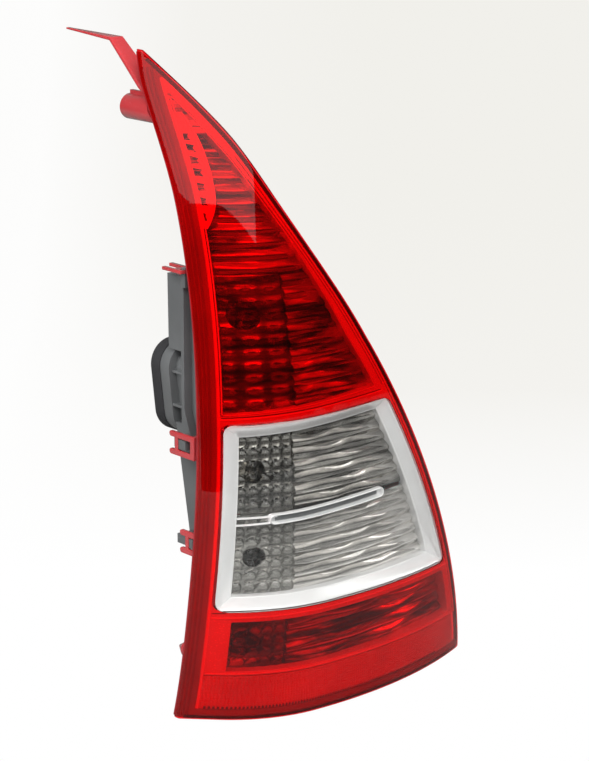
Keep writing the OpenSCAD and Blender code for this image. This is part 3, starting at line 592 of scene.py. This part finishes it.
# Weld flange round the lens: what darkens its left strip, its rim and its lower edge
skin_sheet("weld_flange", lens_loop(0.8, 0.6, 0.8), [lens_loop(11.4, 3.6, 8.6)],
           3.9, 5.4, MAROON, step=4, edge=0.4)
ridges("weld_ribs", [beside_left(inl, 3, 500) for inl in (2.6, 5.0, 7.4)]
       + [across(13, 4, 3.4, 3.4, 90)], RIB_RED, 1.3, 0.6, 3.85)
ridges("rim_line", [beside_right(2.0, 6, 506), across(6, 4, 1.9, 1.9, 90)], RIM_DARK,
       2.8, 0.35, 3.85)

# ---------------------------------------------------------------- bright panel
def band(z):
    """Width of the plain band on the upper zone's right."""
    return mix(14.5, 8.5, max(0.0, min(1.0, (z - 300) / 80)))


def upper_loop(grow=0.0):
    """Outline of the upper zone, which ends in a point at the top."""
    inl, low, low_r = 13.4 - grow, 245 - grow, 253 - grow

    def right_at(z):
        return right_x(z) - LEAN * (band(z) - grow)

    a, b = 400, 500
    for _ in range(40):
        c = (a + b) / 2
        a, b = (c, b) if right_at(c) - left_x(c) - inl > 1 else (a, c)
    top = a
    lo_l, lo_r = (left_x(low) + inl, low), (right_at(low_r), low_r)

    def right(t):
        z = mix(low_r, top, t)
        return (right_at(z), z)

    def left(t):
        z = mix(top, low, t)
        return (left_x(z) + inl, z)

    return rounded([lambda t: mix2(lo_l, lo_r, t), right, left], (2, 3, 1.5), 70, 5)


lower_hole = window_loop(26, 13, (41.5, 41.5), (83, 84), (1, 4, 4, 1), 40)
panel = skin_sheet("bright_panel", lens_loop(11.5, 3, 38, radii=(2, 2, 1.2)),
                   [upper_loop(), window_loop(*MOUTH, 40), lower_hole], PANEL, 5.3,
                   FRAME_WHITE, ["reflector_frame"], step=4, edge=0.3)
# Only its front is metallised: the back, seen past the housing's wall, is bare red plastic
panel.data.materials.append(MAROON)
for face in panel.data.polygons:
    face.material_index = int(face.normal.y > 0.3)
ridges("panel_beads", [beside_left(12.6, 9, 472), beside_right(4.6, 40, 440),
                       across(13, 12, 242.6, 249.5), across(14, 4, 86.2, 87.6),
                       across(14, 4, 39.2, 39.2)],
       TRIM_WHITE, 1.6, 0.7, BEAD)
upper_edge = upper_loop(-1.0)
ridges("panel_beads_fine", [upper_edge + upper_edge[:1], beside_right(7.0, 40, 440)],
       TRIM_WHITE, 0.8, 0.5, BEAD)
# Painted shade: dark maroon lines where the panel lies in shade, between the window's mouth and
# the upper zone, and just under the mouth.
ridges("panel_lines", [across(14, 12, 244.2, 250.6), across(14, 9, 90.2, 91.0)],
       DEEP_RED, 0.9, 0.35, BEAD)
ridges("panel_lines_fine", [beside_right(5.8, 40, 436), beside_right(8.3, 254, 420)],
       RIB_RED, 0.6, 0.2, BEAD)


def wall(node, loop, d0=5.25, d1=15.5):
    """Band round a zone's opening, from the panel back to the sheet."""
    rings = [[on_skin(x, z, d) for x, z in inset(loop, off)]
             for off, d in ((-0.1, d0), (-0.1, d1), (-1.3, d1), (-1.3, d0))]
    return stacked(node + "_band", rings, FRAME_WHITE, [node])


wall("upper_wall", upper_loop())
wall("lower_wall", lower_hole)


def leaf():
    """Outline of the bright toothed trim at the top of the upper zone."""
    edge = ((383, -94.7), (388, -91.6), (397, -87.6), (407, -85.1), (416, -84.3), (427, -83.8),
            (443, -84.4), (455, -86.2), (470, -90.3))
    zs = [mix(384, 468, i / 44) for i in range(45)]
    return [(eased(edge, z), z) for z in zs] + [(left_x(z) + 13.5, z) for z in reversed(zs)]


def tooth(z, width):
    """Outline of one opening in the toothed trim."""
    lo = left_x(z) + 14.6
    return [(lo, z - 3.0), (lo + width, z - 3.4), (lo + width * 0.75, z - 0.6),
            (lo + width, z + 1.6), (lo, z + 3.0)]


TEETH = ((393, 2.0), (404, 4.0), (414.5, 4.9), (425, 5.6), (433.5, 5.6), (442.5, 5.2),
         (451, 4.0))
skin_sheet("toothed_trim", leaf(), [tooth(z, w) for z, w in TEETH], 4.35, 4.95,
           TRIM_WHITE, step=2.5, edge=0.1)
ridges("trim_bead", [leaf()[:45]], TRIM_WHITE, 1.6, 0.5, 4.4)

# ---------------------------------------------------------------- bezel
def bezel_ring(t, depth):
    """One ring of the funnel: t is 0 at the window's edge and 1 at the throat."""
    loop = window_loop(mix(14, 30, t), mix(11, 20, t),
                       (mix(92.5, 101.5, t), mix(93.5, 101.5, t)),
                       (mix(238, 227, t), mix(243.5, 233.5, t)),
                       [max(0.5, r * (1 - t / 0.3)) for r in (6, 6, 5, 5)], 30, 5)
    return [on_skin(x, z, depth) for x, z in loop]


funnel = [bezel_ring(0.0, 5.2), bezel_ring(0.0, 3.9), bezel_ring(0.02, 3.45),
          bezel_ring(0.06, 3.35), bezel_ring(0.12, 3.6)]
funnel += [bezel_ring(mix(0.12, 0.9, s / 6), mix(3.6, 12.2, (s / 6) ** 1.12))
           for s in range(1, 7)]
funnel += [bezel_ring(0.93, 12.3), bezel_ring(0.97, 12.7), bezel_ring(1.0, 13.6),
           bezel_ring(1.0, 22.5), bezel_ring(0.94, 22.5), bezel_ring(0.94, 16.2)]
stacked("bezel_funnel", funnel, CHROME, ["chrome_bezel"], sharp=32)

# ---------------------------------------------------------------- divider
BAR_X, BAR_Z, BAR, BAR_TILT = -15.5, 164.2, 103, math.radians(2.4)


def pill_ring(width, depth, n=24, m=14):
    """One ring of the divider bar: a long loop with round ends."""
    pts = []
    r = width / 2
    for end in (1, -1):
        for j in range(m + 1):
            a = math.radians(-90 + 180 * j / m) + (0 if end == 1 else math.pi)
            pts.append((end * BAR / 2 + r * math.cos(a), r * math.sin(a)))
        for j in range(1, n):
            pts.append((end * mix(BAR / 2, -BAR / 2, j / n), end * r))
    out = []
    for u, v in pts:
        x = BAR_X + u * math.cos(BAR_TILT) - v * math.sin(BAR_TILT)
        z = BAR_Z + u * math.sin(BAR_TILT) + v * math.cos(BAR_TILT)
        out.append(on_skin(x, z, depth))
    return out


bar = [pill_ring(w, d)
       for w, d in ((8.2, 16.3), (8.2, 12.8), (7.7, 12.0), (6.9, 11.7), (6.1, 11.9),
                    (5.5, 12.8), (5.0, 15.2), (4.4, 15.6))]
stacked("divider_bar", bar, CHROME, ["divider_trim"], close=False, cap=True,
        sharp=50)
ridges("divider_flare", [line((-65, z0), (-97, z1), 20)
                         for z0, z1 in ((159.6, 158.0), (164.4, 163.6))],
       CHROME, 1.7, 1.6, 14.2)
ridges("divider_groove", [line((-65, 162.1), (34, 166.3), 40)], BLACK,
       3.4, 0.4, 15.3)

# ---------------------------------------------------------------- fluted sheets
PITCH = 9.5                           # of a flute, and of a pillow lens
FLUTE_COLS, ROWS_A_FLUTE = 110, 10
BACK_GAP = 1.3                        # from the flutes' furthest point to the sheet's back


def flutes(name, z0, z1, left, right, depth, material, stands_for=(), pitch=PITCH,
           amp=3.0, weave=0.9, span=52, wall=1.6, tilt=0.0):
    """Convex flutes, amp deep. Each swells by weave and thins along its length, once every
    span, and its neighbours swell where it thins. tilt leans each flute's face."""
    rows = int(round((z1 - z0) / pitch * ROWS_A_FLUTE))

    def place(i, j):
        z = mix(z0, z1, j / rows)
        return mix(left(z), right(z), i / FLUTE_COLS), z

    def front(i, j):
        x, z = place(i, j)
        v = (z - z0) / pitch
        row = int(v + 1e-6)
        turn = 2 * math.pi * x / span + row * math.pi + 0.9 * math.sin(row * 2.3)
        crest = abs(math.sin(math.pi * v))
        swell = weave * math.sin(turn)
        return on_skin(x, z, depth + amp * (1 - crest) + (swell + 0.2) * crest
                       + tilt * (v - row))

    def back(i, j):
        x, z = place(i, j)
        return on_skin(x, z, depth + amp + BACK_GAP + wall + tilt)

    return grid_plate(name, FLUTE_COLS, rows, front, back, material, stands_for, sharp=60)


def pillows(name, z0, z1, left, right, depth, stands_for, height=2.8, long=1.0):
    """Clear plate with rows of pillow lenses in front of a bulb. long is how many times
    wider than high a pillow is."""
    facets = 8
    rows = facets * int(round((z1 - z0) / PITCH))
    cols = facets * int(round((right - left(z0)) / PITCH / long))

    def front(i, j):
        z = mix(z0, z1, j / rows)
        bulge = abs(math.sin(math.pi * i / facets) * math.sin(math.pi * j / facets))
        return on_skin(mix(left(z), right, i / cols), z, depth + height * (1 - bulge))

    def back(i, j):
        z = mix(z0, z1, j / rows)
        return on_skin(mix(left(z), right, i / cols), z, depth + height + 0.7)

    return grid_plate(name, cols, rows, front, back, OPTIC, stands_for, sharp=30)


def inner_left(inl):
    return lambda z: left_x(z) + inl


def inner_right(inr):
    return lambda z: right_x(z) - LEAN * inr


def upper_right(z):
    """Right end of the upper zone's sheets, never left of their left end."""
    return max(left_x(z) + 13.6, right_x(z) - LEAN * (band(z) - 1.2))


flutes("upper_reflector", 348.5, 468, inner_left(12.6), upper_right, RED_SHEET, BRIGHT,
       ["upper_flutes"])
# The housing is solid close behind the lens's tip, so its flutes are shallow
flutes("tip_reflector", 452, 481, inner_left(12.6), upper_right, 4.5, BRIGHT,
       pitch=4.8, amp=0.5, weave=0.1, wall=-1.1)
flutes("middle_reflector", 243, 348, lambda z: -46.0, upper_right, RED_SHEET, BRIGHT)
flutes("lower_reflector", 40, 85.5, lambda z: -54.0, inner_right(11.5), RED_SHEET, BRIGHT,
       ["lower_flutes"], span=70)
flutes("indicator_reflector", 166.6, 234, lambda z: -47.0, inner_right(19.5), WINDOW_SHEET,
       SILVER, ["indicator_flutes"])
flutes("reverse_reflector", 101, 164, lambda z: -47.0, inner_right(19.5), WINDOW_SHEET,
       SILVER_LOW, ["reverse_flutes"], tilt=1.8)
pillows("stop_pillows", 244, 347.5, inner_left(12.6), -47, RED_SHEET, ["stop_optic"],
        height=2.2, long=2.4)
pillows("indicator_pillows", 166.4, 227, inner_left(30), -48, WINDOW_OPTIC,
        ["indicator_optic"])
pillows("reverse_pillows", 101.5, 164.2, inner_left(30), -48, WINDOW_OPTIC,
        ["reverse_optic"])
pillows("fog_pillows", 40.5, 84, inner_left(25), -55, RED_SHEET, ["fog_optic"])


def backing(name, z0, z1, inl, right, depth, centre, radius, material=SILVER):
    """Bright sheet behind an optic, open for the bulb's bowl."""
    outer = [(left_x(z0) + inl, z0), (right, z0), (right, z1), (left_x(z1) + inl, z1)]
    outer = [mix2(a, b, k / 16) for a, b in zip(outer, outer[1:] + outer[:1])
             for k in range(16)]
    bowl = [(centre[0] + radius * math.cos(a * math.pi / 32),
             centre[1] + radius * math.sin(a * math.pi / 32)) for a in range(64)]
    return skin_sheet(name, outer, [bowl], depth, depth + 0.8, material,
                      edge=0.2)


backing("stop_backing", 243, 348, 12, -45, 15.6, (-76, 318), 11, BRIGHT)
backing("indicator_backing", 166, 234, 20, -45, 20.4, (-77, 199), 9)
backing("reverse_backing", 96, 165, 20, -45, 20.4, (-77, 131), 8, SILVER_LOW)
backing("fog_backing", 40, 85, 20, -53, 15.8, (-84, 62), 10, BRIGHT)

# ---------------------------------------------------------------- prismatic band
def prisms(name, z0, z1, left, right, stands_for, pitch=2.3, amp=0.55, rows=26):
    """Plate of upright prisms with a low step in every other row."""
    cols = int((right(z0) - left(z0)) / pitch * 4)

    def place(i, j):
        z = mix(z0, z1, j / rows)
        return mix(left(z), right(z), i / cols), z

    def front(i, j):
        prism, step = abs(i % 4 - 2) / 2, abs(j * 2 % 4 - 2) / 2
        return on_skin(*place(i, j), LAYER + amp * prism + 0.3 * step)

    def back(i, j):
        return on_skin(*place(i, j), LAYER + 3)

    return grid_plate(name, cols, rows, front, back, REFLEX_RED, stands_for,
                      sharp=20)


prisms("reflex_prisms", 9, 37.5, inner_left(12.5), lambda z: right_x(z) - 1.07 * 9,
       ["reflex_panel"])

# ---------------------------------------------------------------- the housing's back
housing = CAD["rear_housing"].data
tree = BVHTree.FromPolygons([v.co for v in housing.vertices],
                            [p.vertices for p in housing.polygons])
BEHIND = 400     # y that lies behind the whole part
STEP = 0.002     # metres: a rib ends at a higher step of the housing's back


def back_ribs(name, paths, width, height):
    """Low ribs that follow the housing's back along lines of (x, z)."""
    verts, faces, m = [], [], len(SECTION)
    for path in paths:
        runs, before = [[]], None
        for x, z in path:
            spot = tree.ray_cast(at(x, BEHIND, z), Vector((0, -1, 0)))[0]
            if spot is None or (before and abs(spot.y - before.y) > STEP):
                runs.append([])
            if spot is not None:
                runs[-1].append(spot)
            before = spot
        for run in runs:
            if len(run) < 4:
                continue
            base = len(verts)
            for i, p in enumerate(run):
                t = run[min(len(run) - 1, i + 1)] - run[max(0, i - 1)]
                side_way = Vector((-t.z, 0, t.x)).normalized()
                verts += [p + side_way * u * width / 2000 + Vector((0, h * height / 1000, 0))
                          for u, h in SECTION]
            for i in range(len(run) - 1):
                a, b = base + i * m, base + (i + 1) * m
                faces += [(a + j, a + (j + 1) % m, b + (j + 1) % m, b + j) for j in range(m)]
            faces += [tuple(range(base, base + m)),
                      tuple(range(base + (len(run) - 1) * m, base + len(run) * m))]
    return piece(name, verts, faces, HOUSING, sharp=50)


def circle(cx, cz, r, n=40):
    """Closed line of (x, z) round a centre."""
    return [(cx + r * math.cos(2 * math.pi * i / n), cz + r * math.sin(2 * math.pi * i / n))
            for i in range(n + 1)]


RIB_LEFT, RIB_IN = -44, 14   # the ribs' left end, and their inset from the right edge
back_ribs("housing_back_ribs",
          [line((RIB_LEFT, z), (right_x(z) - RIB_IN, z), 60) for z in (36, 140, 215, 265, 305)]
          + [[(right_x(z) - RIB_IN, z) for z in range(24, 340, 4)],
             line((RIB_LEFT, 24), (RIB_LEFT, 330), 80)],
          2.2, 1.8)
back_ribs("housing_back_rings", [circle(20, 175, 13), circle(-20, 240, 5), circle(40, 240, 4),
                                 circle(-20, 60, 5), circle(10, 110, 12)], 1.2, 1.0)

DASHES, DASH, DASH_Z = 88, 1.3, 10.2
dash_starts = [mix(-111, 118, i / DASHES) for i in range(DASHES)]
ridges("reflex_dashes", [line((x, DASH_Z), (x + DASH, DASH_Z), 1) for x in dash_starts],
       DEEP_RED, 2.2, 0.25, 3.35)

# ---------------------------------------------------------------- other CAD nodes
BULBS = ("stop", "indicator", "reverse", "fog")
for material, nodes in (
        (FRAME_WHITE, ("upper_wall", "lower_wall")),
        (SILVER, ["chamber_partition"] + [b + "_bowl" for b in BULBS]),
        (BULB, [b + "_bulb_glass" for b in BULBS if b != "indicator"]),
        (COATED, ["indicator_bulb_glass"]),
        (TIN, [b + "_bulb_base" for b in BULBS] + ["connector_pins"]),
        (STEEL, [b + "_bulb_filament" for b in BULBS] + ["main_stud", "lower_stud"]),
        (HOUSING, ["rear_housing"]),
        (FOAM, ["holder_gasket"]),
        (BRASS, ["ground_strip", "feed_strip"])):
    for node in nodes:
        paint(node, material)
for node in ("mounting_arm", "screw_boss", "top_catch", "middle_catch", "lower_catch",
             "locating_peg"):
    softened(node, HOUSING, 0.45)
for node in ("bulb_holder", "holder_latches", "connector_tower", "fog_socket", "vent_cap"):
    softened(node, BLACK, 0.4)
softened("tower_seal", FOAM, 1.2)

# ---------------------------------------------------------------- studio
def stage_material(name, lit, away, across_way):
    """Pale to the camera and through the lens, and plainly lit to everything else. From
    behind or below it isn't seen, so that it hides the object from no side."""
    m, nt, p, out = new_material(name)
    geometry = nt.nodes.new("ShaderNodeNewGeometry")
    where = geometry.outputs["Position"]

    def along(way):
        node = nt.nodes.new("ShaderNodeVectorMath")
        node.operation = "DOT_PRODUCT"
        nt.links.new(where, node.inputs[0])
        node.inputs[1].default_value = way
        return node.outputs["Value"]
    p.inputs["Base Color"].default_value = (lit, lit, lit * 0.98, 1)
    p.inputs["Roughness"].default_value = 0.8
    p.inputs["Specular IOR Level"].default_value = 0.1
    glow = nt.nodes.new("ShaderNodeEmission")
    glow.inputs["Strength"].default_value = 1.0
    far = grey_range(nt, along(away + Vector((0, 0, 1))), 0.1, 1.5, 0, 1)
    sideways = grey_range(nt, along(across_way), -0.35, 0.1, 0.1, 1)
    path = nt.nodes.new("ShaderNodeLightPath")

    def maths(op, a, b):
        node = nt.nodes.new("ShaderNodeMath")
        node.operation = op
        for k, v in enumerate((a, b)):
            if isinstance(v, (int, float)):
                node.inputs[k].default_value = v
            else:
                nt.links.new(v, node.inputs[k])
        return node.outputs[0]

    # Painted shade: the glow is white near the object and turns a warm grey further back and up,
    # and towards one side.
    nt.links.new(ramp(nt, maths("MULTIPLY", far, sideways),
                      ((0.0, (1, 1, 1)), (0.5, (0.9, 0.89, 0.86)), (1.0, (0.88, 0.87, 0.83)))),
                 glow.inputs["Color"])
    straight = maths("MULTIPLY", path.outputs["Is Transmission Ray"],
                     maths("LESS_THAN", path.outputs["Glossy Depth"], 0.5))
    seen = maths("MAXIMUM", path.outputs["Is Camera Ray"], straight)
    from_behind = maths("MULTIPLY", path.outputs["Is Camera Ray"], geometry.outputs["Backfacing"])
    clear = nt.nodes.new("ShaderNodeBsdfTransparent").outputs[0]
    front = mix_shaders(nt, seen, p.outputs[0], glow.outputs[0])
    nt.links.new(mix_shaders(nt, from_behind, front, clear), out.inputs["Surface"])
    return m


FLOOR, BEND, WALL_TOP, HALF_WIDTH = 1.1, 0.7, 2.6, 2.6  # metres
UNDER = 0.0006                                          # the floor lies this far below


def sweep():
    """Floor that curves up into a backdrop behind the object, as seen from the camera."""
    floor_z = cad_box[0][2] - UNDER
    away = Vector((-toward.x, -toward.y, 0)).normalized()
    across_way = Vector((away.y, -away.x, 0))
    profile = [(-FLOOR, 0.0), (0.0, 0.0), (FLOOR, 0.0)]
    profile += [(FLOOR + BEND * math.sin(math.radians(a)), BEND - BEND * math.cos(math.radians(a)))
                for a in range(10, 91, 10)]
    profile += [(FLOOR + BEND, WALL_TOP)]
    verts, faces = [], []
    for u, h in profile:
        for w in (-HALF_WIDTH, HALF_WIDTH):
            verts.append(away * u + across_way * w + Vector((0, 0, floor_z + h)))
    for i in range(len(profile) - 1):
        faces.append((2 * i, 2 * i + 1, 2 * i + 3, 2 * i + 2))
    mesh = bpy.data.meshes.new("studio_sweep")
    mesh.from_pydata(verts, [], faces)
    mesh.shade_smooth()
    obj = bpy.data.objects.new("studio_sweep", mesh)
    bpy.context.scene.collection.objects.link(obj)
    obj.data.materials.append(stage_material("studio_white", 0.2, away, across_way))


sweep()


def lamp(name, azimuth, elevation, far, size, power, seen=False):
    """A soft box at a direction from the object, facing it. seen says that gloss shows it."""
    a, e = math.radians(azimuth), math.radians(elevation)
    way = Vector((math.sin(a) * math.cos(e), -math.cos(a) * math.cos(e), math.sin(e)))
    data = bpy.data.lights.new(name, "AREA")
    data.shape = "RECTANGLE"
    data.size, data.size_y = size
    data.energy = power
    obj = bpy.data.objects.new(name, data)
    obj.location = at(-30, -30, 300) + way * far
    obj.rotation_mode = "QUATERNION"
    obj.rotation_quaternion = (-way).to_track_quat("-Z", "Y")
    bpy.context.scene.collection.objects.link(obj)
    obj.visible_glossy = seen
    obj.visible_transmission = seen
    obj.visible_camera = False
    return obj


# The left soft box is the one whose slanting reflection crosses the lens's upper end. One
# corner's place and the directions of its edges were found from that reflection.
KEY_WIDTH, KEY_HEIGHT = 2.1, 0.9
key = lamp("softbox_left", 0, 0, 1, (KEY_WIDTH, KEY_HEIGHT), 6.8, seen=True)
key_x, key_y = Vector((0.806, -0.566, -0.173)), Vector((0.415, 0.332, 0.847))
key.location = at(-414, -1645, 997) - key_x * (KEY_WIDTH / 2) + key_y * (KEY_HEIGHT / 2)
key.rotation_quaternion = Matrix((key_x, key_y, key_x.cross(key_y))).transposed().to_quaternion()
lamp("softbox_right", 75, 30, 2.0, (0.5, 1.4), 3.5, seen=True)
lamp("rim_left", -105, 22, 1.6, (0.8, 1.6), 24.0)
lamp("fill_front", -25, 32, 2.4, (2.4, 2.0), 88.0)
lamp("fill_top", 60, 70, 2.0, (2.4, 2.0), 24.0)
lamp("fill_back", 160, 35, 2.2, (2.0, 1.6), 20.0)

world = bpy.data.worlds.new("studio")
bpy.context.scene.world = world
world.use_nodes = True
wt = world.node_tree
shade = wt.nodes["Background"]
wpath = wt.nodes.new("ShaderNodeLightPath")
split = wt.nodes.new("ShaderNodeSeparateXYZ")
wt.links.new(wt.nodes.new("ShaderNodeTexCoord").outputs["Generated"], split.inputs[0])


def wmix(fac, a, b, blend="MIX"):
    """Mixes two colours in the world's nodes. Each may be a value or a socket."""
    node = wt.nodes.new("ShaderNodeMix")
    node.data_type = "RGBA"
    node.blend_type = blend
    for k, v in ((0, fac), (6, a), (7, b)):
        if isinstance(v, bpy.types.NodeSocket):
            wt.links.new(v, node.inputs[k])
        else:
            node.inputs[k].default_value = v
    return node.outputs[2]


# What the reflectors see of the room: dark near the horizon, paler above, to the right
# and below. The lens's own surface mirrors a dark room.
def grey(v, warm=0.93):
    """A slightly warm grey."""
    return (v, v * (1 + warm) / 2, v * warm)


height = ramp(wt, grey_range(wt, split.outputs["Z"], -1, 1, 0, 1),
              ((0.0, grey(0.6)), (0.24, grey(0.4)), (0.33, grey(0.02)), (0.6, grey(0.015)),
               (0.68, grey(0.4)), (0.85, grey(1.0)), (1.0, grey(0.7))))
to_right = ramp(wt, grey_range(wt, split.outputs["X"], -1, 1, 0, 1),
                ((0.0, grey(0.1)), (0.86, grey(0.0)), (0.95, grey(0.22)), (1.0, grey(0.5))))
room = wmix(1.0, height, to_right, "ADD")
dull = wmix(wpath.outputs["Is Transmission Ray"], (0.03, 0.029, 0.028, 1), room)
wt.links.new(wmix(wpath.outputs["Is Camera Ray"], dull, (1, 1, 0.99, 1)),
             shade.inputs["Color"])

bpy.context.scene.view_settings.view_transform = "Standard"
